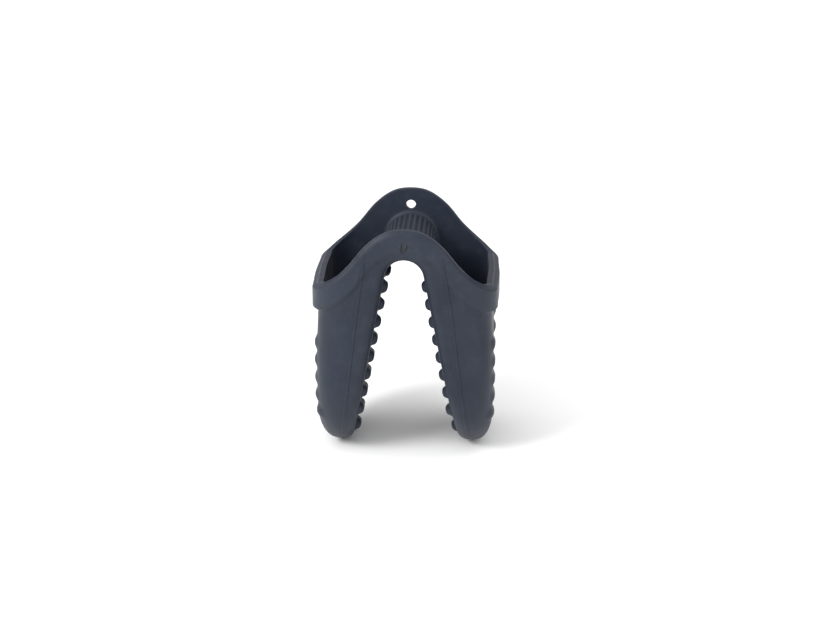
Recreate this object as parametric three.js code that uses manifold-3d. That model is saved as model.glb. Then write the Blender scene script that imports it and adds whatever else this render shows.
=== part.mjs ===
// Mini oven mitt: a U-shaped silicone grip with a finger pocket, a thumb pocket and a ribbed bridge between them.
// Millimetres, +Z up. X runs across the pinch, Y along the knuckles, and Z = 0 is the lowest point of both tips.
import * as THREE from 'three';
import { mergeVertices } from 'three/addons/utils/BufferGeometryUtils.js';
import Module from 'manifold-3d';

const wasm = await Module();
wasm.setup();

// overall
const HEIGHT = 130;            // crest of both ears
const GAP = 0.3;               // free gap between neighbouring regions
const WALL = 3;                // silicone wall of the pockets and the bridge

// collar: the thick band along the mouth
const COLLAR_X = 50;           // half width across the pinch
const COLLAR_Y = 46;           // half depth along the knuckles
const COLLAR_DROP = 11.5;      // height of the band at the crest
const COLLAR_EXTRA = 3;        // extra height of the band at its ends
const COLLAR_LOW = 60;         // the band is cut from a tube that starts here
const COLLAR_NARROW = 1.12;    // how much narrower the band's lower edge runs

// rim line: distance from the middle, and drop below the crest
const RIM_LINE = [[0, 0], [10, 1.8], [20, 9], [30, 20.8], [40, 29], [COLLAR_X, 34.2]];

// pocket walls
const BODY_X = 47;             // outer face of both pockets
const BODY_Y = 44.5;           // side faces at the mouth
const BODY_Y_LOW = 43;         // side faces where the round end begins
const FLAT_X = 16;             // the side faces are flat out to here
const PLAN_POWER = 4.8;        // squareness of the outer plan corners
const INNER_POWER = 7;         // squareness of the plan corners beside the grip
const END_HEIGHT = 46;         // height of the U-shaped end, seen from the side
const TIP_X = 35;              // lowest line of the tip, seen from the front
const TIP_RISE_OUT = 24;       // height of the round on the tip's outer side
const TIP_RISE_IN = 9;         // height of the round on its grip side
const TIP_POWER = 2.4;         // squareness of the plan corners at the tip
const FOOT = 0.2;              // height of tip cut away to leave a small flat foot

// bridge and grip faces
const ARCH_RADIUS = 10.3;      // underside of the bridge
const ARCH_TOP = HEIGHT - 17.5;
const GRIP_SLOPE = 0.19;       // the grip faces spread by this much per unit of height
const ARCH_CENTRE = ARCH_TOP - ARCH_RADIUS;
const GRIP_TILT = Math.atan(GRIP_SLOPE);
const JOIN_Z = 98;             // height where the arch passes into the straight grip faces
const RIB_COUNT = 11;
const RIB_PITCH = 2.8;
const RIB_RADIUS = 0.9;

// hanging holes
const HOLE_RADIUS = 3;
const HOLE_Z = HEIGHT - 9.4;

// flexing zone: each pocket turns about a line along Y through the shoulder of the arch
const HINGE_X = 9;
const HINGE_Z = HEIGHT - 14;
const HINGE_RADIUS = 12.8;

// nubs
const NUB_PITCH = 9.85;
const NUB_COLUMN = 15;         // spacing of the columns; every second one is set half a pitch lower
const NUB_COLUMNS = 5;
const GRIP_NUB = { top: 2.2, base: 3.9, height: 2.6, first: 97.5, rows: 9 };
const BACK_NUB = { top: 2.2, base: 4.4, height: 1.2, first: 64, rows: 5 };
const NUB_SIDES = 6;
const EDGE_MARGIN = 5;         // nubs stay this far inside the edge of the round end
const GRIP_NUB_LOWEST = 16.9;  // no grip nub is centred below this
const BACK_NUB_LOWEST = 17.4;  // no back nub is centred below this

// where the moulding is divided
const SIDE_SPLIT = 37.5;       // side walls lie outside this, the grip and back walls inside
const TIP_SPLIT = 31.2;        // the cup of the tip lies below this, plain walls above it
const WALL_SPLIT = [[33, -10], [33, 30], [24, 90], [22, HEIGHT]];   // grip wall inside, back wall outside
const SEAM_WIDTH = 1.6;        // raised parting strip down the side walls
const SEAM_PROUD = 0.35;
const SEAM_LINE = [[20.5, 116], [24.5, 87], [34.8, 8]];

// reach of the cutting bodies, clear of the mitt on every side
const LOW = -10;
const HIGH = 150;
const OUT = 60;
const POINT_SLACK = 0.01;      // outline points closer than this are the same point

const SILICONE = { color: 0x40474f, roughness: 0.62, metalness: 0 };

// ---------- solids ----------

function solid(geometry) {
  const plain = geometry.index ? geometry.toNonIndexed() : geometry.clone();
  plain.deleteAttribute('normal');
  plain.deleteAttribute('uv');
  const merged = mergeVertices(plain, 1e-4);
  const vertProperties = new Float32Array(merged.attributes.position.array);
  const triVerts = new Uint32Array(merged.index.array);
  return new wasm.Manifold(new wasm.Mesh({ numProp: 3, vertProperties, triVerts }));
}

function mesh(name, body) {
  const { vertProperties, triVerts } = body.getMesh();
  const geometry = new THREE.BufferGeometry();
  geometry.setAttribute('position', new THREE.BufferAttribute(new Float32Array(vertProperties), 3));
  geometry.setIndex(new THREE.BufferAttribute(new Uint32Array(triVerts), 1));
  geometry.computeVertexNormals();
  const part = new THREE.Mesh(geometry, new THREE.MeshStandardMaterial(SILICONE));
  part.name = name;
  return part;
}

function box(x0, x1, y0, y1, z0, z1) {
  const geometry = new THREE.BoxGeometry(x1 - x0, y1 - y0, z1 - z0);
  geometry.translate((x0 + x1) / 2, (y0 + y1) / 2, (z0 + z1) / 2);
  return solid(geometry);
}

// an outline drawn in X and Z, carried through from y0 to y1
function through(points, y0 = -OUT, y1 = OUT) {
  const shape = new THREE.Shape(points.map(([x, z]) => new THREE.Vector2(x, z)));
  const geometry = new THREE.ExtrudeGeometry(shape, { depth: y1 - y0, bevelEnabled: false });
  geometry.rotateX(Math.PI / 2);
  geometry.translate(0, y1, 0);
  return solid(geometry);
}

// a skin through rings of equal length, closed at both ends
function loft(rings) {
  const count = rings[0].length;
  const positions = rings.flat(2);
  const faces = [];
  for (let r = 0; r + 1 < rings.length; r += 1) {
    for (let i = 0; i < count; i += 1) {
      const a = r * count + i;
      const b = r * count + (i + 1) % count;
      faces.push(a, b, b + count, a, b + count, a + count);
    }
  }
  const top = (rings.length - 1) * count;
  for (let i = 1; i + 1 < count; i += 1) {
    faces.push(0, i + 1, i);
    faces.push(top, top + i, top + i + 1);
  }
  const geometry = new THREE.BufferGeometry();
  geometry.setAttribute('position', new THREE.Float32BufferAttribute(positions, 3));
  geometry.setIndex(faces);
  return solid(geometry);
}

// ---------- outlines ----------

const gripX = (z) => {
  const tangentX = ARCH_RADIUS * Math.cos(GRIP_TILT);
  const tangentZ = ARCH_CENTRE + ARCH_RADIUS * Math.sin(GRIP_TILT);
  return tangentX + GRIP_SLOPE * (tangentZ - z);
};

const rimHalf = RIM_LINE.map(([x, drop]) => [x, HEIGHT - drop]);
const rimMirror = rimHalf.slice(1).reverse().map(([x, z]) => [-x, z]);
const rimCurve = new THREE.SplineCurve([...rimMirror, ...rimHalf].map(([x, z]) => new THREE.Vector2(x, z)));
const rimPoints = rimCurve.getPoints(30).map((p) => [p.x, p.y]);

// the same line lowered and narrowed: the bottom edge of the collar
function collarEdge(shift) {
  const line = rimPoints.map(([x, z]) => {
    const extra = COLLAR_EXTRA * (x / COLLAR_X) ** 2;
    return [x / COLLAR_NARROW, z - COLLAR_DROP - extra + shift];
  });
  const end = line[line.length - 1][1];
  return [[-OUT, end], ...line, [OUT, end]];
}

// the space between the pockets, grown outwards by the given amount
function gripOutline(grow) {
  const radius = ARCH_RADIUS + grow;
  const steps = 14;
  const points = [];
  for (let i = 0; i <= steps; i += 1) {
    const angle = GRIP_TILT + (Math.PI - 2 * GRIP_TILT) * (i / steps);
    points.push([radius * Math.cos(angle), ARCH_CENTRE + radius * Math.sin(angle)]);
  }
  const [x, z] = points[0];
  const low = -20;
  const lowX = x + GRIP_SLOPE * (z - low);
  return [[lowX, low], ...points, [-lowX, low]];
}

// a plan outline: flat sides near the middle, rounded corners, from xIn to xOut and to +-depth
function plan(xIn, xOut, flat, depth, z, innerPower = INNER_POWER, outerPower = PLAN_POWER) {
  const quarter = 6;
  const points = [];
  const corner = (cx, sx, sy, power, from) => {
    for (let i = 0; i < quarter; i += 1) {
      const angle = (from + i / quarter) * Math.PI / 2;
      const c = Math.cos(angle);
      const s = Math.sin(angle);
      const x = cx + sx * Math.sign(c) * Math.abs(c) ** (2 / power);
      const y = sy * Math.sign(s) * Math.abs(s) ** (2 / power);
      points.push([x, y, z]);
    }
  };
  corner(flat, xOut - flat, depth, outerPower, 0);
  corner(flat, flat - xIn, depth, innerPower, 1);
  corner(flat, flat - xIn, depth, innerPower, 2);
  corner(flat, xOut - flat, depth, outerPower, 3);
  return points;
}

// a quarter round that rises from 0 to 1 over the given height
const quarterRound = (z, rise) => Math.sqrt(1 - Math.max(0, 1 - (z + FOOT) / rise) ** 2);

// one level of a pocket, inset from its outer skin
function pocketRing(z, inset) {
  const xIn = TIP_X - (TIP_X - gripX(z)) * quarterRound(z, TIP_RISE_IN) + inset;
  const xOut = TIP_X + (BODY_X - TIP_X) * quarterRound(z, TIP_RISE_OUT) - inset;
  const taper = Math.max(0, (z - END_HEIGHT) / (JOIN_Z - END_HEIGHT));
  const straight = BODY_Y_LOW + (BODY_Y - BODY_Y_LOW) * taper;
  const depth = straight * quarterRound(z, END_HEIGHT) - inset;
  const blend = Math.min(1, z / END_HEIGHT);
  const flat = xIn + (0.5 + (0.15 - 0.5) * blend) * (xOut - xIn);
  const innerPower = TIP_POWER + (INNER_POWER - TIP_POWER) * blend;
  const outerPower = TIP_POWER + (PLAN_POWER - TIP_POWER) * blend;
  return plan(xIn, xOut, flat, depth, z, innerPower, outerPower);
}

// a full mouth outline, both pockets together, carried up as a straight tube
function mouthTube(halfX, halfY, z0, z1) {
  const level = (z) => {
    const right = plan(0, halfX, FLAT_X, halfY, z).filter(([x]) => x > FLAT_X - POINT_SLACK);
    const lower = right.filter(([, y]) => y < -POINT_SLACK);
    const upper = right.filter(([, y]) => y >= -POINT_SLACK);
    const half = [...lower, ...upper];
    return [...half, ...half.map(([x, y]) => [-x, -y, z])];
  };
  return loft([level(z0), level(z1)]);
}

// ---------- whole moulding ----------

const SKIN_LEVELS = [0, 1, 2.6, 5, 8, 12, 17, 24, 34, END_HEIGHT, 70, JOIN_Z];
const HOLLOW_LEVELS = [5, 7, 10, 14, 19, 26, 34, END_HEIGHT, 70, JOIN_Z + 0.5];

const rimEnd = HEIGHT - RIM_LINE.at(-1)[1];
const underRim = through([[-OUT, LOW], [OUT, LOW], [OUT, rimEnd], ...rimPoints.toReversed(), [-OUT, rimEnd]]);
const aboveCollarEdge = through([...collarEdge(GAP / 2), [OUT, HIGH], [-OUT, HIGH]]);
const belowCollarEdge = through([[-OUT, LOW], [OUT, LOW], ...collarEdge(-GAP / 2).toReversed()]);
const gripSpace = through(gripOutline(0));
const gripSpaceAndWall = through(gripOutline(WALL));

const holes = solid(new THREE.CylinderGeometry(HOLE_RADIUS, HOLE_RADIUS, 140, 24).translate(0, 0, HOLE_Z));

const mouthOuter = mouthTube(BODY_X, BODY_Y, JOIN_Z, HIGH).subtract(gripSpace);
const mouthHollow = mouthTube(BODY_X - WALL, BODY_Y - WALL, JOIN_Z, HIGH + 1).subtract(gripSpaceAndWall);

const collarTube = mouthTube(COLLAR_X, COLLAR_Y, COLLAR_LOW, HIGH)
  .subtract(mouthTube(BODY_X - WALL, BODY_Y - WALL, COLLAR_LOW - 1, HIGH + 1))
  .intersect(aboveCollarEdge)
  .intersect(underRim)
  .subtract(holes);

// capsule-shaped zone of the bridge, between the two hinge lines
function bridgeZone(grow) {
  const radius = HINGE_RADIUS + grow;
  const steps = 16;
  const last = 84 / 90;
  const right = [];
  for (let i = 0; i <= steps; i += 1) {
    const angle = (-1 + (1 + last) * (i / steps)) * Math.PI / 2;
    right.push([HINGE_X + radius * Math.cos(angle), HINGE_Z + radius * Math.sin(angle)]);
  }
  right.push([right[steps][0], HIGH]);
  const left = right.toReversed().map(([x, z]) => [-x, z]);
  return through([...right, ...left]);
}
const bridge = bridgeZone(-GAP / 2);
const bridgeAndGap = bridgeZone(GAP / 2);

// ---------- bridge pieces ----------

const nearSlab = box(-OUT, OUT, -OUT, -(BODY_Y - WALL), LOW, HIGH);
const farSlab = box(-OUT, OUT, BODY_Y - WALL, OUT, LOW, HIGH);
const between = box(-OUT, OUT, -(BODY_Y - WALL - GAP), BODY_Y - WALL - GAP, LOW, HIGH);

function ear(slab) {
  const plate = mouthOuter.intersect(slab).intersect(underRim).subtract(holes);
  return plate.add(collarTube.intersect(slab)).intersect(bridge);
}

function bridgeWeb() {
  let web = mouthOuter.intersect(gripSpaceAndWall).intersect(between);
  for (let i = 0; i < RIB_COUNT; i += 1) {
    const angle = (i - (RIB_COUNT - 1) / 2) * (RIB_PITCH / (ARCH_RADIUS + WALL));
    const geometry = new THREE.CylinderGeometry(RIB_RADIUS, RIB_RADIUS, 2 * (BODY_Y - WALL - GAP), 6);
    const reach = ARCH_RADIUS + WALL;
    geometry.translate(reach * Math.sin(angle), 0, ARCH_CENTRE + reach * Math.cos(angle));
    web = web.add(solid(geometry));
  }
  return web.intersect(bridge);
}

// ---------- pocket pieces ----------

function nubGeometry({ top, base, height }) {
  const sunk = 0.6;
  const grown = base + (base - top) * (sunk / height);
  const geometry = new THREE.CylinderGeometry(top, grown, height + sunk, NUB_SIDES);
  geometry.translate(0, (height - sunk) / 2, 0);
  geometry.rotateZ(Math.PI / 2);
  return geometry;
}

// nub places on a face: Y and Z, staggered, inside the round end
function nubPlaces({ first, rows }, lowest) {
  const places = [];
  for (let column = 0; column < NUB_COLUMNS; column += 1) {
    const y = (column - (NUB_COLUMNS - 1) / 2) * NUB_COLUMN;
    for (let row = 0; row < rows; row += 1) {
      const z = first - (row + (column % 2) / 2) * NUB_PITCH;
      const depth = Math.max(...pocketRing(Math.max(z - EDGE_MARGIN, 0.1), 0).map((p) => p[1]));
      if (Math.abs(y) < depth && z > lowest) {
        places.push([y, z]);
      }
    }
  }
  return places;
}

// the raised parting strip: a narrow band of the skin, grown outwards
function seamStrip() {
  const left = SEAM_LINE.map(([x, z]) => [x - SEAM_WIDTH / 2, z]);
  const right = SEAM_LINE.map(([x, z]) => [x + SEAM_WIDTH / 2, z]);
  const grown = loft(SKIN_LEVELS.map((z) => pocketRing(z, -SEAM_PROUD)));
  const core = box(0, OUT, -SIDE_SPLIT, SIDE_SPLIT, LOW, HIGH);
  return through([...right.toReversed(), ...left]).intersect(grown).subtract(core);
}

// the nubs of the grip face and of the back, grown out of the skin
function withNubs(skin) {
  let nubbed = skin;
  const gripNub = nubGeometry(GRIP_NUB).rotateY(-GRIP_TILT);
  for (const [y, z] of nubPlaces(GRIP_NUB, GRIP_NUB_LOWEST)) {
    nubbed = nubbed.add(solid(gripNub.clone().translate(gripX(z), y, z)));
  }
  const backNub = nubGeometry(BACK_NUB).rotateY(Math.PI);
  for (const [y, z] of nubPlaces(BACK_NUB, BACK_NUB_LOWEST)) {
    nubbed = nubbed.add(solid(backNub.clone().translate(backFaceX(y, z), y, z)));
  }
  return nubbed;
}

function pocketPieces() {
  const skin = loft(SKIN_LEVELS.map((z) => pocketRing(z, 0))).add(seamStrip());
  const hollow = loft(HOLLOW_LEVELS.map((z) => pocketRing(z, WALL)));
  const rightSide = box(0.5, OUT, -OUT, OUT, LOW, HIGH);
  const shell = withNubs(skin.add(mouthOuter.intersect(rightSide)))
    .subtract(hollow.add(mouthHollow))
    .subtract(bridgeAndGap)
    .intersect(rightSide);
  const body = shell.intersect(belowCollarEdge).intersect(underRim);
  const upper = body.intersect(box(0, OUT, -OUT, OUT, TIP_SPLIT + GAP / 2, HIGH));
  const collar = collarTube.intersect(rightSide).subtract(bridgeAndGap);

  const near = box(0, OUT, -OUT, -SIDE_SPLIT - GAP / 2, LOW, HIGH);
  const far = box(0, OUT, SIDE_SPLIT + GAP / 2, OUT, LOW, HIGH);
  const middle = box(0, OUT, -SIDE_SPLIT + GAP / 2, SIDE_SPLIT - GAP / 2, LOW, HIGH);

  const backLine = WALL_SPLIT.map(([x, z]) => [x + GAP, z]);
  const gripHalf = through([[0, LOW], ...WALL_SPLIT, [0, HEIGHT]]);
  const backHalf = through([[OUT, LOW], [OUT, HEIGHT], ...backLine.toReversed()]);

  return {
    grip_wall: upper.intersect(middle).intersect(gripHalf),
    back_wall: upper.intersect(middle).intersect(backHalf),
    near_side: upper.intersect(near),
    far_side: upper.intersect(far),
    tip: body.intersect(box(0, OUT, -OUT, OUT, LOW, TIP_SPLIT - GAP / 2)),
    collar_near: collar.intersect(near),
    collar_end: collar.intersect(middle),
    collar_far: collar.intersect(far),
  };
}

// the outer face at a given place on the plan
function backFaceX(y, z) {
  const ring = pocketRing(z, 0);
  const ordered = ring.filter(([x, py]) => x > 30 && py >= 0).sort((a, b) => a[1] - b[1]);
  const wanted = Math.abs(y);
  const upper = ordered.findIndex((p) => p[1] >= wanted);
  if (upper <= 0) {
    return ordered[0][0];
  }
  const [x0, y0] = ordered[upper - 1];
  const [x1, y1] = ordered[upper];
  return x0 + (x1 - x0) * (wanted - y0) / (y1 - y0);
}

// ---------- assembly ----------

const mitt = new THREE.Group();
mitt.add(mesh('bridge_web', bridgeWeb()));
mitt.add(mesh('near_ear', ear(nearSlab)));
mitt.add(mesh('far_ear', ear(farSlab)));

for (const [piece, body] of Object.entries(pocketPieces())) {
  mitt.add(mesh(`thumb_${piece}`, body));
  mitt.add(mesh(`finger_${piece}`, body.mirror([1, 0, 0])));
}

export default mitt;
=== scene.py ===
# %% [markdown]
# # A silicone mini oven mitt
# A mitt like this is one piece of moulded silicone. Two pockets, one for the fingers and one for the
# thumb, hang from a ribbed bridge, and a pan handle is pinched between their nubbed grip faces.
# The measured frame is loaded first. It gives the mitt's height and the bodies that move.

# %% Load the frame
import math

import bmesh
import bpy
import numpy as np
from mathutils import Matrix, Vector


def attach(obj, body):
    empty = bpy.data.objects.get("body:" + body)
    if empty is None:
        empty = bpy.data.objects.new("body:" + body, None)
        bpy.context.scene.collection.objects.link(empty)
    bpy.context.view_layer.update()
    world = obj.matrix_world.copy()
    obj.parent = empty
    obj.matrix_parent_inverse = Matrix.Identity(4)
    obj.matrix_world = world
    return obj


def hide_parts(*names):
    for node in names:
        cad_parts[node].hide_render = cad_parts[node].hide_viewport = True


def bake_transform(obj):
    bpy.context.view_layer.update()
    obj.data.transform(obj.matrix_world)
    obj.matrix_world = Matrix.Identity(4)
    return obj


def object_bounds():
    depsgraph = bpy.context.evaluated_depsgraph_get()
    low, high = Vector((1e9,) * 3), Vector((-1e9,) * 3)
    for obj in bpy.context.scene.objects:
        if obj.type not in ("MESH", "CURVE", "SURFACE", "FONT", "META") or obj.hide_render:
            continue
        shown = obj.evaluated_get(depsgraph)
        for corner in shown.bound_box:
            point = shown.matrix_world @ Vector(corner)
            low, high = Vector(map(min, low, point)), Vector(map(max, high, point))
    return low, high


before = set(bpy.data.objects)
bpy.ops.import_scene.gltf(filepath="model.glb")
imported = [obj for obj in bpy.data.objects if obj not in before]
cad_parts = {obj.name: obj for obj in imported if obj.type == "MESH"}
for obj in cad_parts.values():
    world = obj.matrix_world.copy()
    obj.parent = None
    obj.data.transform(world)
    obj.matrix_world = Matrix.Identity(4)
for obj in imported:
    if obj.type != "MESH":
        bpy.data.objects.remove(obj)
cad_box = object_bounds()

bpy.ops.object.select_all(action="DESELECT")
MM = 0.001
print("frame box in mm:", [[round(c / MM, 1) for c in corner] for corner in cad_box])

# %% [markdown]
# ## Driving sizes
# The skin is drawn once, as a quarter of the mitt, and mirrored twice. These sizes are in millimetres:
# X runs across the pinch, Y along the knuckles, and Z up from the two tips.

# %% Sizes of the skin
HEIGHT = cad_box[1].z / MM
BODY_X = 47.0            # outer face of a pocket
BODY_Y = 44.5            # side face at the mouth
BODY_Y_LOW = 43.0        # side face where the round end begins
SIDE_BOW = 2.2           # how much the side face falls back towards its outer corner
WALL = 3.0               # silicone wall
ARCH_RADIUS = 10.3       # underside of the bridge
ARCH_Z = HEIGHT - 17.5 - ARCH_RADIUS
GRIP_SLOPE = 0.19        # the grip faces spread as they go down
GRIP_TILT = math.atan(GRIP_SLOPE)
INNER_CORNER = 5.5       # plan radius beside the grip face
OUTER_CORNER = 12.5      # plan radius at the outer corners
MOUTH_CORNER = 17.0      # and the same at the mouth
END_BOW = 0.7            # how much the ends of the mouth swell outwards
END_HEIGHT = 46.0        # height of the U-shaped end
TIP_X = 35.0             # lowest line of a tip
TIP_RISE_OUT = 24.0      # height of the tip's round, outer side
TIP_RISE_IN = 9.0        # height of the tip's round, grip side
LEVEL_TOP = 86.0         # above this the rows bend to follow the rim
MOUTH_X = 50.0           # half width of the mouth
FULL_DEPTH_Z = 98.0      # the pocket has its full depth from here up
RIM_DROPS = [(0, 0), (10, 1.8), (20, 9), (30, 20.8), (40, 29), (50, 34.2)]
print("bridge arch centre at", round(ARCH_Z, 1), "mm,",
      "grip faces lean", round(math.degrees(GRIP_TILT), 1), "degrees")

# %% [markdown]
# ## The rim line and the inner profile
# Two curves shape everything. The rim swells up to an ear over the middle and falls gently at the ends.
# The inner profile rises up the grip face and goes over in a round arch. Both are short formulas, so
# the two pockets and the bridge stay one continuous surface.

# %% Rim line and inner profile
END_SLOPE = 0.3          # how steeply the rim still falls at the ends of the mouth


def rim_z(x):
    """Height of the rim at a distance from the middle: a smooth line through a few drops below the crest."""
    knots = np.array([k for k, _ in RIM_DROPS], float)
    drops = np.array([d for _, d in RIM_DROPS], float)
    inner = (drops[2:] - drops[:-2]) / (knots[2:] - knots[:-2])
    slopes = np.concatenate([[0.0], inner, [END_SLOPE]])
    ax = np.clip(np.abs(np.asarray(x, float)), 0, knots[-1])
    i = np.clip(np.searchsorted(knots, ax, side="right") - 1, 0, len(knots) - 2)
    width = knots[i + 1] - knots[i]
    u = (ax - knots[i]) / width
    drop = ((2 * u**3 - 3 * u**2 + 1) * drops[i] + (u**3 - 2 * u**2 + u) * width * slopes[i]
            + (3 * u**2 - 2 * u**3) * drops[i + 1] + (u**3 - u**2) * width * slopes[i + 1])
    return HEIGHT - drop


def grip_x(z):
    """The straight grip face, continued to any height."""
    tangent_x = ARCH_RADIUS * math.cos(GRIP_TILT)
    tangent_z = ARCH_Z + ARCH_RADIUS * math.sin(GRIP_TILT)
    return tangent_x + GRIP_SLOPE * (tangent_z - z)


def quarter_round(z, rise):
    """0 at the very bottom, 1 at the given rise, along a quarter circle."""
    return np.sqrt(1 - np.maximum(0, 1 - z / rise) ** 2)


print("rim above the middle, at 25 mm and at the end:", [round(float(rim_z(x)), 1) for x in (0, 25, 50)])

# %% [markdown]
# ## The skin, as one quarter sheet
# The real mitt is a single sheet of silicone bent into a bag, so its outside is drawn as a grid. Columns
# run from the middle of the grip face, round the corner, over the side face and round to the middle of
# the back. Rows climb from the tip to the rim. Over the bridge only the inner columns go on, so the grid
# is L-shaped. A box could be cut to the same outline, but its corners would lose the moulded roundness.

# %% Columns and rows of the grid
CELLS = {"grip": 28, "inner_corner": 6, "side": 20, "outer_corner": 14, "back": 30}
RIM_CORNER = 9           # this many side columns go over the bridge, the others end on the rim
ROWS_END = 46
ROWS_LEG = 44
ROWS_SHOULDER = 24
ROWS_ARCH = 26
FIRST_ROW = 0.35         # the first ring lies this share of a row above the lowest point
columns = [(part, (k + 1) / n) for part, n in CELLS.items() for k in range(n)]
columns = [("grip", 0.0)] + columns
LAST_ARCH_COLUMN = CELLS["grip"] + CELLS["inner_corner"] + RIM_CORNER
rim_share = RIM_CORNER / CELLS["side"]
ROWS_LOW = ROWS_END + ROWS_LEG
ROWS_ALL = ROWS_LOW + ROWS_SHOULDER + ROWS_ARCH
print(len(columns), "columns,", ROWS_ALL + 1, "rows")

# %% [markdown]
# Below the shoulder every row is a rounded rectangle at one height. The corners open to a full round
# towards the tip, and the side faces draw in along a quarter circle, so the pocket ends in a U. Three
# small helpers give the corner radius, the depth and the slight bow of the side face at any height.

# %% Corner, depth and bow at a height
OPENS_FROM = 52.0        # the outer corners open up above this height
SIDE_FLAT_X = 14.0       # the side face is flat out to here
BOW_FADE = 40.0          # height over which its bow fades in


def ease(value, start, end):
    share = min(1.0, max(0.0, (value - start) / (end - start)))
    return share * share * (3 - 2 * share)


def outer_radius(z):
    """Plan radius of the outer corners, which open up towards the mouth."""
    return OUTER_CORNER + (MOUTH_CORNER - OUTER_CORNER) * ease(z, OPENS_FROM, LEVEL_TOP)


def half_depth(z):
    taper = np.clip((z - END_HEIGHT) / (FULL_DEPTH_Z - END_HEIGHT), 0, 1)
    return (BODY_Y_LOW + (BODY_Y - BODY_Y_LOW) * taper) * quarter_round(z, END_HEIGHT)


def side_fall(x, z):
    """How far the side face lies behind its middle: a slight bow that fades out down the pocket."""
    share = np.clip((np.abs(x) - SIDE_FLAT_X) / (BODY_X - SIDE_FLAT_X), 0, 1) ** 2
    return SIDE_BOW * share * np.clip((z - END_HEIGHT) / BOW_FADE, 0, 1)


print("half depth at 10, 46 and 90 mm:", [round(float(half_depth(z)), 1) for z in (10, END_HEIGHT, 90)])

# %% [markdown]
# One function then gives any place on a pocket: it is asked for a part of the row, how far along that
# part, and the height. Corners are quarter circles and faces are nearly straight, as in the mould.

# %% A place on the pocket
TILT_FROM = 20.0         # above this height the inner corner starts to lean with the grip face
TILT_OVER = 60.0         # and it leans fully this much higher
END_BOW_FROM = 60.0      # the ends of the mouth swell above this height


def pocket_point(part, share, z):
    """A place on the outer skin of a pocket, at one height."""
    x_in = TIP_X - (TIP_X - grip_x(z)) * quarter_round(z, TIP_RISE_IN)
    x_out = TIP_X + (BODY_X - TIP_X) * quarter_round(z, TIP_RISE_OUT)
    depth = half_depth(z)
    width = x_out - x_in
    low = (1 - min(1.0, z / END_HEIGHT)) ** 2
    full = min(width / 2, depth)
    inner = min(INNER_CORNER + (full - INNER_CORNER) * low, full)
    corner = outer_radius(z)
    outer = min(corner + (full - corner) * low, width - inner, depth)
    tilt = GRIP_TILT * min(1.0, max(0.0, (z - TILT_FROM) / TILT_OVER))
    corner_x = x_in + inner * math.cos(tilt)
    corner_z = z + inner * math.sin(tilt)
    bow = END_BOW * ease(z, END_BOW_FROM, LEVEL_TOP)
    if part == "grip":
        return x_in, -(depth - inner) * share, z
    if part == "inner_corner":
        turn = share * math.pi / 2
        along = inner * (1 - math.cos(turn))
        return (x_in + along * math.cos(tilt), -(depth - inner) - inner * math.sin(turn),
                z + along * math.sin(tilt))
    side_end = x_out - outer - bow
    fall = float(side_fall(side_end, z))
    if part == "side":
        x = corner_x + (side_end - corner_x) * share
        height = corner_z + (z - corner_z) * share
        return x, -(depth - float(side_fall(x, z))), height
    if part == "outer_corner":
        turn = share * math.pi / 2
        return side_end + outer * math.sin(turn), -(depth - fall - outer) - outer * math.cos(turn), z
    swell = bow * (0.5 + 0.5 * math.cos(math.pi * (1 - share)))
    return x_out - bow + swell, -(depth - fall - outer) * (1 - share), z


row_heights = []
for r in range(ROWS_END):
    turn = math.pi / 2 * (r + FIRST_ROW) / (ROWS_END + FIRST_ROW)
    row_heights.append(END_HEIGHT * (1 - math.cos(turn)))
row_heights += [END_HEIGHT + (LEVEL_TOP - END_HEIGHT) * r / ROWS_LEG for r in range(ROWS_LEG + 1)]
print("lowest row at", round(row_heights[0], 3), "mm")

# %% [markdown]
# Above that height the rows bend. On the side face each column leaves along the wall and ends upright at
# the rim, or turns into a ring round the arch, and the corner between the two families of columns
# sits on the rim, on the shoulder of the ear. Where a ray from the arch centre meets the rim is found by
# halving a stretch again and again, because the rim line can't simply be solved for that point.

# %% The corner on the rim
CORNER_ANGLE = math.radians(28.6)     # where the shoulder passes into the arch, seen from the arch centre
RIM_SEARCH = (18.0, 40.0)             # the rim lies between these distances from the arch centre
HALVINGS = 40


def ray_to_rim(angle):
    """Distance from the arch centre to the rim, along one angle."""
    near, far = RIM_SEARCH
    for _ in range(HALVINGS):
        middle = (near + far) / 2
        x = middle * math.cos(angle)
        if ARCH_Z + middle * math.sin(angle) < float(rim_z(x)):
            near = middle
        else:
            far = middle
    return near


print("rim corner", round(ray_to_rim(CORNER_ANGLE), 1), "mm from the arch centre")

# %% [markdown]
# The grip face and the inner corner follow the inner profile all the way: straight up the face, then round
# the arch. At each place the profile also gives the way into the wall, which the corner is turned about.


# %% Columns on the inner profile
def inner_profile(share):
    """Grip face and start of the arch above the last level row: a place and the way into the wall."""
    start = np.array([grip_x(LEVEL_TOP), LEVEL_TOP])
    tangent = np.array([ARCH_RADIUS * math.cos(GRIP_TILT), ARCH_Z + ARCH_RADIUS * math.sin(GRIP_TILT)])
    straight = float(np.linalg.norm(tangent - start))
    bend = ARCH_RADIUS * (CORNER_ANGLE - GRIP_TILT)
    run = share * (straight + bend)
    if run <= straight:
        place = start + (tangent - start) * run / straight
        return place, np.array([math.cos(GRIP_TILT), math.sin(GRIP_TILT)])
    angle = GRIP_TILT + (run - straight) / ARCH_RADIUS
    way = np.array([math.cos(angle), math.sin(angle)])
    return np.array([0, ARCH_Z]) + ARCH_RADIUS * way, way


def from_profile(part, share, place, way):
    """Grip and inner corner columns: they follow the inner profile."""
    depth = float(half_depth(place[1]))
    if part == "grip":
        return place[0], -(depth - INNER_CORNER) * share, place[1]
    turn = share * math.pi / 2
    inward = place + way * INNER_CORNER * (1 - math.cos(turn))
    return inward[0], -(depth - INNER_CORNER) - INNER_CORNER * math.sin(turn), inward[1]


print("inner profile starts at", [round(float(c), 1) for c in inner_profile(0)[0]])

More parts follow.
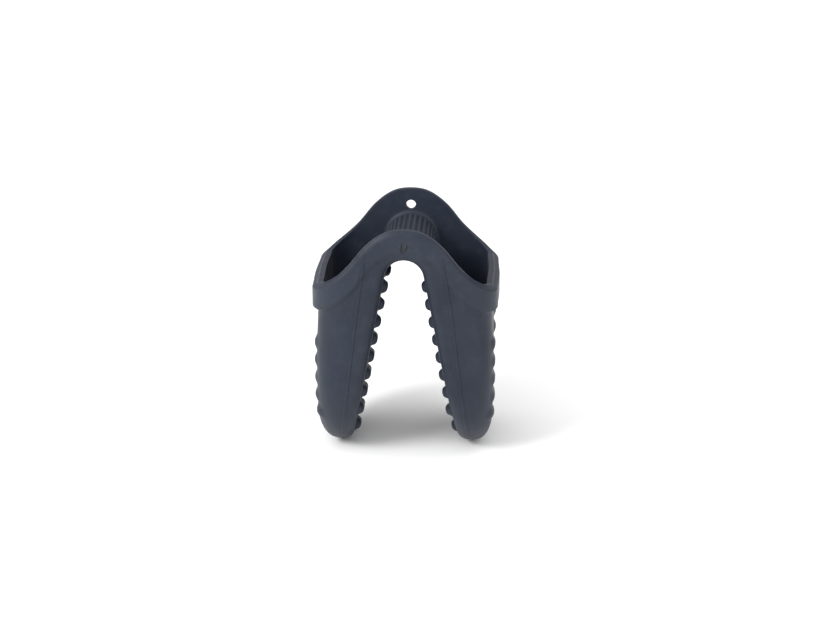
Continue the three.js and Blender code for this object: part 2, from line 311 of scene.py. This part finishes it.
# %% [markdown]
# A side column over the shoulder is a smooth curve between a foot and a head, with a direction at each
# end. Straight lines would do for the outline, but the light would show a crease at both ends.


# %% Columns over the shoulder
def side_depth(x, z):
    return float(half_depth(z)) - float(side_fall(x, z))


def side_column(share):
    """Foot, head and the two directions of a side column over the shoulder."""
    foot = np.array(pocket_point("side", share, LEVEL_TOP))[[0, 2]]
    leave = np.array([-GRIP_SLOPE * (1 - share), 1.0])
    ring = ARCH_RADIUS + INNER_CORNER
    if share <= rim_share:
        radius = ring + (ray_to_rim(CORNER_ANGLE) - ring) * share / rim_share
        head = np.array([radius * math.cos(CORNER_ANGLE), ARCH_Z + radius * math.sin(CORNER_ANGLE)])
        around = np.array([-math.sin(CORNER_ANGLE), math.cos(CORNER_ANGLE)])
        upright = share / rim_share
        return foot, head, leave, around * (1 - upright) + np.array([0.0, 1.0]) * upright
    beyond = (share - rim_share) / (1 - rim_share)
    corner_x = ray_to_rim(CORNER_ANGLE) * math.cos(CORNER_ANGLE)
    x = corner_x + (BODY_X - END_BOW - MOUTH_CORNER - corner_x) * beyond
    return foot, np.array([x, float(rim_z(x))]), leave, np.array([0.0, 1.0])


print("side columns over the bridge:", RIM_CORNER, "and on the rim:", CELLS["side"] - RIM_CORNER)

# %% [markdown]
# With these helpers every corner of the grid has its place: on the pocket, over the shoulder, or on the
# rings round the arch.


# %% Any place on the quarter skin
def shoulder_point(part, share, up):
    if part in ("grip", "inner_corner"):
        return from_profile(part, share, *inner_profile(up))
    if part == "side":
        foot, head, leave, arrive = side_column(share)
        pull = float(np.linalg.norm(head - foot))
        leave, arrive = leave / np.linalg.norm(leave) * pull, arrive / np.linalg.norm(arrive) * pull
        flat = ((2 * up**3 - 3 * up**2 + 1) * foot + (up**3 - 2 * up**2 + up) * leave
                + (3 * up**2 - 2 * up**3) * head + (up**3 - up**2) * arrive)
        return flat[0], -side_depth(flat[0], flat[1]), flat[1]
    x_at_rim, _, _ = pocket_point(part, share, float(rim_z(BODY_X)))
    z = LEVEL_TOP + (float(rim_z(x_at_rim)) - LEVEL_TOP) * up
    return pocket_point(part, share, z)


def arch_point(part, share, up):
    angle = CORNER_ANGLE + (math.pi / 2 - CORNER_ANGLE) * up
    way = np.array([math.cos(angle), math.sin(angle)])
    centre = np.array([0, ARCH_Z])
    if part in ("grip", "inner_corner"):
        return from_profile(part, share, centre + ARCH_RADIUS * way, way)
    ring = ARCH_RADIUS + INNER_CORNER
    flat = centre + way * (ring + (ray_to_rim(angle) - ring) * share / rim_share)
    return flat[0], -side_depth(flat[0], flat[1]), flat[1]


def skin_point(column, row):
    part, share = columns[column]
    if row <= ROWS_LOW:
        return pocket_point(part, share, row_heights[row])
    if row <= ROWS_LOW + ROWS_SHOULDER:
        return shoulder_point(part, share, (row - ROWS_LOW) / ROWS_SHOULDER)
    return arch_point(part, share, (row - ROWS_LOW - ROWS_SHOULDER) / ROWS_ARCH)


print("top of the bridge:", [round(float(c), 1) for c in skin_point(0, ROWS_ALL)])

# %% [markdown]
# A grid primitive gives the mesh. The cells past the rim are deleted, and every grid corner is carried
# to its place on the quarter skin. The last two rows over the bridge lie level, so the two halves of the
# mitt later meet without a crease.


# %% Cut the grid to an L
def select_vertices(obj, test):
    """Edit mode, with just the vertices that pass the test selected."""
    bpy.ops.object.mode_set(mode="OBJECT")
    for polygon in obj.data.polygons:
        polygon.select = False
    for edge in obj.data.edges:
        edge.select = False
    for vertex in obj.data.vertices:
        vertex.select = bool(test(vertex.co))
    bpy.ops.object.mode_set(mode="EDIT")


span = (len(columns) - 1, ROWS_ALL)
bpy.ops.mesh.primitive_grid_add(x_subdivisions=span[0], y_subdivisions=span[1], size=2.0)
skin = bpy.context.object
skin.name = "mitt_skin"


def grid_place(co):
    return round((co.x + 1) / 2 * span[0]), round((co.y + 1) / 2 * span[1])


def past_the_ear(co):
    column, row = grid_place(co)
    return row > ROWS_LOW + ROWS_SHOULDER and column > LAST_ARCH_COLUMN


bpy.ops.object.mode_set(mode="EDIT")
bpy.ops.mesh.select_mode(type="VERT")
select_vertices(skin, past_the_ear)
bpy.ops.mesh.delete(type="VERT")
bpy.ops.object.mode_set(mode="OBJECT")
print("L-shaped grid:", len(skin.data.polygons), "faces")

# %% Carry the grid to the skin
for vertex in skin.data.vertices:
    column, row = grid_place(vertex.co)
    x, y, z = skin_point(column, row)
    if row == 0:
        x, y, z = TIP_X, 0.0, 0.0
    if row == ROWS_ALL - 1:
        _, y, z = skin_point(column, ROWS_ALL)
    if row == ROWS_ALL:
        x = 0.0
    if columns[column] in (("grip", 0.0), ("back", 1.0)):
        y = 0.0
    vertex.co = (x * MM, y * MM, z * MM)
print("quarter skin:", len(skin.data.vertices), "vertices")

# %% [markdown]
# ## From a quarter sheet to a pocket
# The wall is an even sheet of silicone, taken as 3 mm thick. A mirror doubles the quarter to one whole
# pocket with its half of the bridge, and a solidify gives it the wall, inwards, so the moulded outside
# keeps its size. Drawing the inside by hand would give a wall that wanders.


# %% Mirror and thicken
def apply_modifier(obj, kind, **settings):
    bpy.context.view_layer.objects.active = obj
    modifier = obj.modifiers.new(kind.lower(), kind)
    for key, value in settings.items():
        setattr(modifier, key, value)
    bpy.ops.object.modifier_apply(modifier=modifier.name)


bpy.ops.object.mode_set(mode="EDIT")
bpy.ops.mesh.select_all(action="SELECT")
bpy.ops.mesh.remove_doubles(threshold=0.00001)
bpy.ops.mesh.normals_make_consistent(inside=False)
bpy.ops.object.mode_set(mode="OBJECT")
apply_modifier(skin, "MIRROR", use_axis=(False, True, False), use_clip=True, merge_threshold=0.00002)


BACK_FROM = 0.044        # metres: faces past this belong to the back


def back_faces_outward(obj):
    """Whether the back of the pocket looks along +X."""
    return sum(p.normal.x * p.area for p in obj.data.polygons if p.center.x > BACK_FROM) > 0


if not back_faces_outward(skin):
    bpy.ops.object.mode_set(mode="EDIT")
    bpy.ops.mesh.select_all(action="SELECT")
    bpy.ops.mesh.flip_normals()
    bpy.ops.object.mode_set(mode="OBJECT")
skin.vertex_groups.new(name="inside")
apply_modifier(skin, "SOLIDIFY", thickness=WALL * MM, offset=-1.0, use_even_offset=False,
               use_quality_normals=True, shell_vertex_group="inside")
print("pocket with its wall:", len(skin.data.polygons), "faces")

# %% [markdown]
# ## The collar and the soft nubs of the back
# A thicker band runs round the mouth, widest at its two ends, and the backs carry rows of low, soft
# bumps. Both are relief in the same moulding with no edge of their own, so the outer skin is pushed out
# by a height that depends on the place. Separate bumps would show a crease where they meet the wall.

# %% Height of the relief at a place
COLLAR_DROP = 11.5       # height of the band at the ears
COLLAR_EXTRA = 1.5       # and how much more at its ends
COLLAR_SIDE = 1.5        # how far it stands out on the side faces
COLLAR_END = 3.0         # and at its ends
COLLAR_NARROW = 1.12     # how much narrower its lower edge runs
COLLAR_LIP = (0.3, 3.0)  # it rises to its full height between these distances below the rim
COLLAR_STEP = (1.0, 1.2) # how far its lower edge reaches below and above its line
NUB_PITCH = 9.85
NUB_COLUMN = 15.0
BACK_NUB_FIRST = 64.0
BACK_NUB_ROWS = 5
BACK_NUB_REACH = 5.0
BACK_NUB_HEIGHT = 1.25
BACK_NUB_CROWN = 0.8     # the very top of a soft nub is flat out to here
BACK_NUB_LIMIT = 72      # no soft nub reaches above this height


def collar_height(x, z, endwards):
    lower = float(rim_z(COLLAR_NARROW * abs(x))) - COLLAR_DROP - COLLAR_EXTRA * (x / MOUTH_X) ** 2
    stand = COLLAR_SIDE + (COLLAR_END - COLLAR_SIDE) * endwards
    below, above = COLLAR_STEP
    return stand * ease(float(rim_z(x)) - z, *COLLAR_LIP) * ease(z, lower - below, lower + above)


def back_nub_places():
    """Centres of the soft nubs on the outer skin of the back."""
    places = []
    for column in range(-2, 3):
        for row in range(BACK_NUB_ROWS):
            z = BACK_NUB_FIRST - (row + (column % 2) / 2) * NUB_PITCH
            y = column * NUB_COLUMN
            if abs(y) > float(half_depth(z - BACK_NUB_REACH)):
                continue
            x_out, _, _ = pocket_point("back", 0.5, z)
            corner = OUTER_CORNER + SIDE_BOW
            over = max(0.0, abs(y) - (float(half_depth(z)) - corner))
            places.append((x_out - corner + math.sqrt(max(0.0, corner**2 - over**2)), y, z))
    return np.array(places)


soft_nubs = back_nub_places()
print(len(soft_nubs), "soft nubs on each back")

# %% [markdown]
# The push goes along the vertex normals, on the outer skin only, and its height is kept in an attribute
# that the material reads later. On the plane where the two halves meet a vertex may not leave that plane.

# %% Push the outer skin out
inside_index = skin.vertex_groups["inside"].index
relief = skin.data.attributes.new("relief", "FLOAT", "POINT")
mouth_line = 0.02 * MM
END_FACING = 0.05        # a normal that looks this far outwards belongs to a back or an end
SIDE_FACING = 0.5        # and this far sideways to a side face
heights = []
pushes = []
for vertex in skin.data.vertices:
    outward = vertex.normal.copy()
    if abs(vertex.co.x) < mouth_line:
        outward.x = 0.0
        outward.normalize()
    inner = any(g.group == inside_index and g.weight > 0.5 for g in vertex.groups)
    x, y, z = vertex.co / MM
    height = 0.0
    if not inner:
        side_or_end = 1.0 if outward.x > END_FACING or abs(outward.y) > SIDE_FACING else 0.0
        height = side_or_end * collar_height(x, z, max(0.0, outward.x) ** 2)
        if z < BACK_NUB_LIMIT and outward.x > 0.02:
            gap = float(np.min(np.linalg.norm(soft_nubs - np.array([x, y, z]), axis=1)))
            height += BACK_NUB_HEIGHT * (1 - ease(gap, BACK_NUB_CROWN, BACK_NUB_REACH))
    heights.append(height)
    pushes.append(outward * height * MM)
for vertex, push in zip(skin.data.vertices, pushes):
    vertex.co += push
relief.data.foreach_set("value", heights)
print("highest relief", round(max(heights), 2), "mm")

# %% [markdown]
# ## The lip and the hanging hole
# The rim is cut square by the mould and then softened by a small round on both edges, which is what
# catches the light as two fine lines. The sharp edges are picked by their angle and bevelled. Each ear
# has a round hole to hang the mitt by, cut with a plain cylinder.

# %% Bevel the lip
SHARP = math.radians(50)


def select_edges(obj, test):
    """Edit mode, with just the edges that pass the test on their two ends selected."""
    bpy.ops.object.mode_set(mode="EDIT")
    bpy.ops.mesh.select_mode(type="EDGE")
    bpy.ops.mesh.select_all(action="DESELECT")
    bpy.ops.mesh.edges_select_sharp(sharpness=SHARP)
    sheet = bmesh.from_edit_mesh(obj.data)
    for edge in sheet.edges:
        if edge.select and not test(edge.verts[0].co, edge.verts[1].co):
            edge.select = False
    bmesh.update_edit_mesh(obj.data)


def on_cut(a, b):
    """Whether an edge lies in the plane where the two halves meet."""
    return abs(a.x) < mouth_line and abs(b.x) < mouth_line


LIP_ROUND = 0.85
LIP_BAND = 1.2           # the lip's edges lie this close to the rim line
LIP_FROM = (0.040, 0.036)  # metres: and outside this half width or half depth


def on_lip(co):
    beside = co.x > LIP_FROM[0] or abs(co.y) > LIP_FROM[1]
    return beside and abs(co.z / MM - float(rim_z(co.x / MM))) < LIP_BAND


select_edges(skin, lambda a, b: not on_cut(a, b) and on_lip(a) and on_lip(b))
bpy.ops.mesh.bevel(offset=LIP_ROUND * MM, segments=3, affect="EDGES", clamp_overlap=True)
bpy.ops.object.mode_set(mode="OBJECT")
print("lip bevelled:", len(skin.data.polygons), "faces")

# %% Cut the hanging holes
HOLE_RADIUS = 2.75
HOLE_Z = HEIGHT - 9.4
HOLE_ROUND = 0.18        # its edges are barely softened
HOLE_SLACK = 0.05
bpy.ops.mesh.primitive_cylinder_add(vertices=64, radius=HOLE_RADIUS * MM, depth=0.14,
                                    location=(0, 0, HOLE_Z * MM), rotation=(math.pi / 2, 0, 0))
drill = bpy.context.object
drill.name = "drill"
bpy.ops.object.transform_apply(location=True, rotation=True, scale=True)
apply_modifier(skin, "BOOLEAN", operation="DIFFERENCE", object=drill, solver="EXACT")
bpy.data.objects.remove(drill)


def round_hole(a, b):
    reach = [math.hypot(c.x, c.z - HOLE_Z * MM) / MM for c in (a, b)]
    return not on_cut(a, b) and max(reach) < HOLE_RADIUS + HOLE_SLACK and abs(a.y - b.y) < 0.3 * MM


select_edges(skin, round_hole)
bpy.ops.mesh.bevel(offset=HOLE_ROUND * MM, segments=2, affect="EDGES", clamp_overlap=True)
bpy.ops.mesh.select_all(action="SELECT")
bpy.ops.mesh.normals_make_consistent(inside=False)
bpy.ops.object.mode_set(mode="OBJECT")
bpy.ops.object.select_all(action="DESELECT")
skin.select_set(True)
bpy.context.view_layer.objects.active = skin
bpy.ops.object.shade_smooth_by_angle(angle=math.radians(42))
skin.name = "thumb_skin"
print("holes cut:", len(skin.data.polygons), "faces")

# %% [markdown]
# ## The grip nubs
# Rows of stiff rubber teeth cover both grip faces, with a dome on a flared skirt, a little wider along the
# knuckles. They all come from one shape in the mould, so one is modelled from a disc: its face is pulled
# up and drawn in, ring by ring. The others are copies, set square to the leaning face.

# %% Model one grip nub
NUB_BASE = 4.3           # radius of the disc that it is pulled from
NUB_SIDES = 28
NUB_RINGS = [(4.2, 0.0), (3.85, 0.3), (3.5, 0.8), (3.2, 1.35),
             (2.85, 1.9), (2.35, 2.4), (1.65, 2.75), (0.85, 2.92)]     # radius and height of each ring
NUB_FOOT = 0.5           # how deep the skirt sits in the wall
NUB_NARROW = 0.98        # the nub is narrower up the wall than along the knuckles

bpy.ops.object.select_all(action="DESELECT")
bpy.ops.mesh.primitive_circle_add(vertices=NUB_SIDES, radius=NUB_BASE * MM, fill_type="NGON",
                                  location=(0, 0, -NUB_FOOT * MM))
nub = bpy.context.object
nub.name = "grip_nub"
bpy.ops.object.mode_set(mode="EDIT")
bpy.ops.mesh.select_mode(type="FACE")
bpy.ops.mesh.select_all(action="SELECT")
last_radius, last_height = NUB_BASE, -NUB_FOOT
for radius, height in NUB_RINGS:
    bpy.ops.mesh.extrude_region_move(TRANSFORM_OT_translate={"value": (0, 0, (height - last_height) * MM)})
    bpy.ops.transform.resize(value=(radius / last_radius, radius / last_radius, 1))
    last_radius, last_height = radius, height
bpy.ops.mesh.poke()
bpy.ops.mesh.select_all(action="SELECT")
bpy.ops.transform.resize(value=(NUB_NARROW, 1, 1), center_override=(0, 0, 0))
bpy.ops.mesh.normals_make_consistent(inside=False)
bpy.ops.object.mode_set(mode="OBJECT")
bpy.ops.object.transform_apply(location=True, rotation=True, scale=True)
print("one nub:", len(nub.data.polygons), "faces, ", [round(d / MM, 1) for d in nub.dimensions], "mm")

# %% Copy it over the thumb's grip face
NUB_FIRST = 95.5
NUB_ROWS = 10
NUB_LOWEST = 6.5
NUB_CLEAR = 3.5          # a nub is left out where the wall this much lower is too narrow for it
NUB_OVERHANG = 3.0       # how far its centre may lie past the flat of the grip face
copies = []
for column in range(-2, 3):
    for row in range(NUB_ROWS):
        z = NUB_FIRST - (row + (column % 2) / 2) * NUB_PITCH
        y = column * NUB_COLUMN
        if z < NUB_LOWEST or abs(y) > float(half_depth(z - NUB_CLEAR)) - INNER_CORNER + NUB_OVERHANG:
            continue
        bpy.ops.object.select_all(action="DESELECT")
        nub.select_set(True)
        bpy.context.view_layer.objects.active = nub
        bpy.ops.object.duplicate(linked=False)
        copy = bpy.context.object
        copy.location = (float(grip_x(z)) * MM, y * MM, z * MM)
        copy.rotation_euler = (0, -math.pi / 2 - GRIP_TILT, 0)
        copies.append(copy)
bpy.data.objects.remove(nub)
bpy.ops.object.select_all(action="DESELECT")
for copy in copies:
    copy.select_set(True)
bpy.context.view_layer.objects.active = copies[0]
bpy.ops.object.transform_apply(location=True, rotation=True, scale=True)
bpy.ops.object.join()
thumb_nubs = bpy.context.object
thumb_nubs.name = "thumb_grip_nubs"
bpy.ops.object.shade_smooth_by_angle(angle=math.radians(50))
print(len(copies), "nubs on each grip face")

# %% [markdown]
# ## The ribs of the bridge
# Fine ribs run along the knuckles over the bridge and a little way down inside both pockets, so the
# hand does not slip. A rib is a thin bar with rounded ends, half sunk into the wall. One is modelled from
# a cylinder and copied round the inner arch, then down the inner face of the wall.

# %% Model one rib
RIB_PITCH = 2.8
RIB_RADIUS = 0.95
RIBS_UP = 12             # ribs on each side of the one in the middle
RIB_END_GAP = 3.2        # room left between a rib's end and the wall
RIB_ROUND = 0.8
RIB_LENGTH = 2 * (BODY_Y - WALL - RIB_END_GAP)
INNER_ARCH = ARCH_RADIUS + WALL
ARCH_RUN = INNER_ARCH * (math.pi / 2 - GRIP_TILT)

bpy.ops.mesh.primitive_cylinder_add(vertices=16, radius=RIB_RADIUS * MM, depth=RIB_LENGTH * MM,
                                    end_fill_type="NGON", rotation=(math.pi / 2, 0, 0))
rib = bpy.context.object
rib.name = "bridge_rib"
bpy.ops.object.transform_apply(location=True, rotation=True, scale=True)
select_edges(rib, lambda a, b: abs(a.y - b.y) < 1e-6)
bpy.ops.mesh.bevel(offset=RIB_ROUND * MM, segments=4, affect="EDGES")
bpy.ops.mesh.select_all(action="DESELECT")
bpy.ops.object.mode_set(mode="OBJECT")
print("one rib:", [round(d / MM, 1) for d in rib.dimensions], "mm")


# %% Copy it along the inner face
def rib_place(run):
    """Where the inner face is at a distance along it from the middle of the bridge."""
    if run <= ARCH_RUN:
        angle = math.pi / 2 - run / INNER_ARCH
        return INNER_ARCH * math.cos(angle), ARCH_Z + INNER_ARCH * math.sin(angle)
    down = run - ARCH_RUN
    return (INNER_ARCH * math.cos(GRIP_TILT) + down * math.sin(GRIP_TILT),
            ARCH_Z + INNER_ARCH * math.sin(GRIP_TILT) - down * math.cos(GRIP_TILT))


rib_copies = []
for step in range(1, RIBS_UP + 1):
    x, z = rib_place(step * RIB_PITCH)
    bpy.ops.object.select_all(action="DESELECT")
    rib.select_set(True)
    bpy.context.view_layer.objects.active = rib
    bpy.ops.object.duplicate(linked=False)
    copy = bpy.context.object
    copy.location = (x * MM, 0, z * MM)
    rib_copies.append(copy)
rib.location = (0, 0, (ARCH_Z + INNER_ARCH) * MM)
bpy.ops.object.select_all(action="DESELECT")
rib.select_set(True)
bpy.context.view_layer.objects.active = rib
bpy.ops.object.transform_apply(location=True, rotation=True, scale=True)
bpy.ops.object.shade_smooth_by_angle(angle=math.radians(60))
bpy.ops.object.select_all(action="DESELECT")
for copy in rib_copies:
    copy.select_set(True)
bpy.context.view_layer.objects.active = rib_copies[0]
bpy.ops.object.transform_apply(location=True, rotation=True, scale=True)
bpy.ops.object.join()
thumb_ribs = bpy.context.object
thumb_ribs.name = "thumb_ribs"
bpy.ops.object.shade_smooth_by_angle(angle=math.radians(60))
print("ribs:", 2 * RIBS_UP + 1)

# %% [markdown]
# ## The parting strips
# Down each side face runs the fine raised line that the joint of the mould leaves. It follows the wall,
# so a narrow grid is laid in front of it and wrapped onto the skin, its middle is raised and its edges
# are sunk. Wrapping keeps the strip on the wall even where the pocket rounds off.

# %% Lay the strip on the side face
SEAM_LINE = [(19.6, 119.3), (24.5, 87.0), (34.8, 4.0)]
SEAM_WIDTH = 1.7
SEAM_HEIGHT = 0.42
SEAM_ACROSS = 12
SEAM_ALONG = 170
SEAM_SQUARE = 6          # a higher power gives the strip a squarer section
SEAM_FADE = 12           # it fades out over a twelfth of its length at each end
SEAM_SINK = 0.12         # its edges lie this deep in the wall
SEAM_THICK = 0.8
IN_FRONT = -0.06         # metres: where the flat strip starts from


def seam_x(z):
    low, middle, high = SEAM_LINE[2], SEAM_LINE[1], SEAM_LINE[0]
    a, b = (low, middle) if z < middle[1] else (middle, high)
    return a[0] + (b[0] - a[0]) * (z - a[1]) / (b[1] - a[1])


bpy.ops.object.select_all(action="DESELECT")
bpy.ops.mesh.primitive_grid_add(x_subdivisions=SEAM_ACROSS, y_subdivisions=SEAM_ALONG, size=2.0)
strip = bpy.context.object
strip.name = "thumb_seam"
profile = []
for vertex in strip.data.vertices:
    across, along = vertex.co.x, (vertex.co.y + 1) / 2
    z = SEAM_LINE[2][1] + (SEAM_LINE[0][1] - SEAM_LINE[2][1]) * along
    profile.append((1 - abs(across) ** SEAM_SQUARE) * min(1.0, along * SEAM_FADE, (1 - along) * SEAM_FADE))
    vertex.co = ((seam_x(z) + across * SEAM_WIDTH / 2) * MM, IN_FRONT, z * MM)
print("flat strip:", len(strip.data.vertices), "vertices")

# %% Wrap it onto the wall
apply_modifier(strip, "SHRINKWRAP", target=skin, wrap_method="PROJECT", use_project_y=True,
               use_positive_direction=True, use_negative_direction=False)
for vertex, rise in zip(strip.data.vertices, profile):
    vertex.co.y -= (SEAM_HEIGHT * rise - SEAM_SINK * (1 - rise)) * MM
bpy.ops.object.mode_set(mode="EDIT")
bpy.ops.mesh.select_all(action="SELECT")
bpy.ops.mesh.normals_make_consistent(inside=False)
bpy.ops.object.mode_set(mode="OBJECT")
if sum(p.normal.y for p in strip.data.polygons) > 0:
    bpy.ops.object.mode_set(mode="EDIT")
    bpy.ops.mesh.select_all(action="SELECT")
    bpy.ops.mesh.flip_normals()
    bpy.ops.object.mode_set(mode="OBJECT")
apply_modifier(strip, "SOLIDIFY", thickness=SEAM_THICK * MM, offset=-1.0)
apply_modifier(strip, "MIRROR", use_axis=(False, True, False))
bpy.ops.object.shade_smooth_by_angle(angle=math.radians(50))
print("parting strips:", len(strip.data.polygons), "faces")

# %% [markdown]
# ## The finger side
# The two pockets are alike, so every piece of the thumb side is copied and mirrored through the middle of
# the bridge. A mirrored copy has its faces inside out, and they are turned again after it.


# %% Mirror the thumb side
def mirrored(obj, name):
    bpy.ops.object.select_all(action="DESELECT")
    obj.select_set(True)
    bpy.context.view_layer.objects.active = obj
    bpy.ops.object.duplicate(linked=False)
    twin = bpy.context.object
    twin.name = name
    bpy.ops.object.mode_set(mode="EDIT")
    bpy.ops.mesh.select_all(action="SELECT")
    bpy.ops.transform.resize(value=(-1, 1, 1), center_override=(0, 0, 0))
    bpy.ops.mesh.normals_make_consistent(inside=False)
    bpy.ops.object.mode_set(mode="OBJECT")
    return twin


thumb_side = [skin, thumb_nubs, thumb_ribs, strip]
finger_side = [mirrored(skin, "finger_skin"), mirrored(thumb_nubs, "finger_grip_nubs"),
               mirrored(thumb_ribs, "finger_ribs"), mirrored(strip, "finger_seam")]
pieces = thumb_side + finger_side + [rib]
print("pieces:", [p.name for p in pieces])

# %% [markdown]
# ## The silicone
# Moulded silicone is a matt, slightly dusty slate. Its colour drifts by a shade over a few centimetres,
# its grain is very fine, and the soft nubs and the collar, which stand out, are rubbed a touch lighter.
# The drift and the grain are noise in object space, and the rubbing reads the relief's own attribute, so
# all of it stays with the piece and needs no picture.

# %% Silicone shader
SLATE_DARK = (0.0115, 0.0160, 0.0272, 1)
SLATE_LIGHT = (0.0165, 0.0218, 0.0352, 1)
DUST = (0.085, 0.10, 0.125, 1)
DUST_SHARE = 0.10        # how much of the dust shows, at most
ROUGH = (0.42, 0.54)

silicone = bpy.data.materials.new("slate_silicone")
silicone.use_nodes = True
nodes = silicone.node_tree.nodes
links = silicone.node_tree.links
shader = nodes["Principled BSDF"]
shader.inputs["IOR"].default_value = 1.41
shader.inputs["Sheen Weight"].default_value = 0.03
shader.inputs["Sheen Roughness"].default_value = 0.55
shader.inputs["Specular IOR Level"].default_value = 0.30

place = nodes.new("ShaderNodeTexCoord")
print("shader:", shader.name)

# %% [markdown]
# Three small helpers keep the node set-up readable: a noise, a colour mix and a change of range.


# %% Node helpers
def noise(scale, detail, roughness):
    node = nodes.new("ShaderNodeTexNoise")
    node.inputs["Scale"].default_value = scale
    node.inputs["Detail"].default_value = detail
    node.inputs["Roughness"].default_value = roughness
    links.new(place.outputs["Object"], node.inputs["Vector"])
    return node


def mix_colour(amount, first, second):
    node = nodes.new("ShaderNodeMix")
    node.data_type = "RGBA"
    links.new(amount, node.inputs["Factor"])
    for socket, value in ((node.inputs[6], first), (node.inputs[7], second)):
        if isinstance(value, tuple):
            socket.default_value = value
        else:
            links.new(value, socket)
    return node.outputs[2]


def scaled(value, low, high, to_low, to_high):
    node = nodes.new("ShaderNodeMapRange")
    links.new(value, node.inputs["Value"])
    for name, amount in (("From Min", low), ("From Max", high), ("To Min", to_low), ("To Max", to_high)):
        node.inputs[name].default_value = amount
    return node.outputs["Result"]


print("nodes so far:", len(nodes))

# %% Colour, dust and grain
drift = noise(38, 3, 0.55)
patches = noise(170, 4, 0.6)
grain = noise(2600, 3, 0.6)
rubbed = nodes.new("ShaderNodeAttribute")
rubbed.attribute_name = "relief"

body_colour = mix_colour(scaled(drift.outputs["Fac"], 0.35, 0.65, 0, 1), SLATE_DARK, SLATE_LIGHT)
dusty = mix_colour(scaled(patches.outputs["Fac"], 0.5, 0.8, 0, DUST_SHARE), body_colour, DUST)
worn = mix_colour(scaled(rubbed.outputs["Fac"], 0.4, 3.0, 0, DUST_SHARE), dusty, DUST)
links.new(worn, shader.inputs["Base Color"])
links.new(scaled(patches.outputs["Fac"], 0.3, 0.7, *ROUGH), shader.inputs["Roughness"])

bump = nodes.new("ShaderNodeBump")
bump.inputs["Strength"].default_value = 0.18
bump.inputs["Distance"].default_value = 0.00012
links.new(grain.outputs["Fac"], bump.inputs["Height"])
links.new(bump.outputs["Normal"], shader.inputs["Normal"])

for piece in pieces:
    piece.data.materials.clear()
    piece.data.materials.append(silicone)
print("silicone on", len(pieces), "pieces")

# %% [markdown]
# ## Joining the pieces to the bodies
# The mitt pinches by bending its bridge, which the frame holds as two hinges. The skin, the ribs and the
# strips have their placement baked into their meshes and are not joined to a body here; the middle rib rides
# on the bridge. The grip nubs lie at the lower end of the bend or below it, and are too stiff to bend, so
# they ride on their pocket.

# %% Ride, and bake the rest in place
for body, side, group in ((1, "thumb_pocket", thumb_side), (-1, "finger_pocket", finger_side)):
    covering, nubs_piece, ribs_piece, seam_piece = group
    for piece in (covering, ribs_piece, seam_piece):
        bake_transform(piece)
    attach(nubs_piece, side)
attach(rib, "bridge")
for prefix, covering in (("thumb_", thumb_side[0]), ("finger_", finger_side[0])):
    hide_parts(*[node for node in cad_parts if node.startswith(prefix)])
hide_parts("bridge_web", "near_ear", "far_ear")
print("CAD nodes replaced:", len(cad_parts))

# %% [markdown]
# ## The camera and the light
# The camera stands in front and a little above, far enough back for a long lens, so that the far ear
# shows over the near one. Two soft boxes model the faces, a wide ceiling light keeps the table even, and
# the world is kept dim, so the gap between the pockets and their insides fall dark.

# %% Camera
CAMERA_AZIMUTH = 2.6
CAMERA_HEIGHT_ANGLE = 18.2
CAMERA_DISTANCE = 1.1
LONG_LENS = 88.0
SENSOR = 36.0
AIM = Vector((0.0027, 0.0, 0.0727))

azimuth = math.radians(CAMERA_AZIMUTH)
climb = math.radians(CAMERA_HEIGHT_ANGLE)
back = Vector((math.sin(azimuth) * math.cos(climb), -math.cos(azimuth) * math.cos(climb), math.sin(climb)))
bpy.ops.object.camera_add(location=AIM + back * CAMERA_DISTANCE)
camera = bpy.context.object
camera.name = "camera"
camera.rotation_mode = "QUATERNION"
camera.rotation_quaternion = (-back).to_track_quat("-Z", "Y")
camera.data.lens = LONG_LENS
camera.data.sensor_width = SENSOR
camera.data.clip_start = 0.05
bpy.context.scene.camera = camera
print("camera at", [round(c, 3) for c in camera.location])


# %% Lights
def soft_box(name, place, size, watts, look_at=Vector((0, 0, 0.06))):
    bpy.ops.object.light_add(type="AREA", location=place)
    light = bpy.context.object
    light.name = name
    light.data.shape = "DISK"
    light.data.size = size
    light.data.energy = watts
    light.rotation_mode = "QUATERNION"
    light.rotation_quaternion = (look_at - Vector(place)).to_track_quat("-Z", "Y")
    return light


soft_box("key_light", (-0.85, -0.75, 0.80), 0.6, 14.0)
soft_box("side_light", (0.80, -0.80, 0.35), 0.6, 3.0)

bpy.ops.object.light_add(type="SUN", location=(0, -0.5, 1.5))
even_light = bpy.context.object
even_light.name = "ceiling_light"
even_light.data.energy = 2.1
even_light.data.angle = math.radians(100)
even_light.rotation_mode = "QUATERNION"
even_light.rotation_quaternion = Vector((0.10, 0.20, -1.0)).to_track_quat("-Z", "Y")

# %% [markdown]
# The floor is plain, matt and nearly white. It has no grain of its own, so that nothing on it draws the
# eye. The world is one even white, turned down to half.

# %% Floor and world
FLOOR_SIZE = 8.0
FLOOR_DROP = 0.0001      # just under the tips, so the two surfaces don't flicker

bpy.ops.mesh.primitive_plane_add(size=FLOOR_SIZE, location=(0, 0, -FLOOR_DROP))
floor = bpy.context.object
floor.name = "floor"
paper = bpy.data.materials.new("studio_paper")
paper.use_nodes = True
paper_shader = paper.node_tree.nodes["Principled BSDF"]
paper_shader.inputs["Base Color"].default_value = (0.93, 0.93, 0.93, 1)
paper_shader.inputs["Roughness"].default_value = 0.9
floor.data.materials.append(paper)

world = bpy.data.worlds.new("studio_world")
world.use_nodes = True
world.node_tree.nodes["Background"].inputs["Color"].default_value = (1, 1, 1, 1)
world.node_tree.nodes["Background"].inputs["Strength"].default_value = 0.5
bpy.context.scene.world = world
bpy.context.scene.view_settings.view_transform = "Standard"
print("floor:", FLOOR_SIZE, "m square")
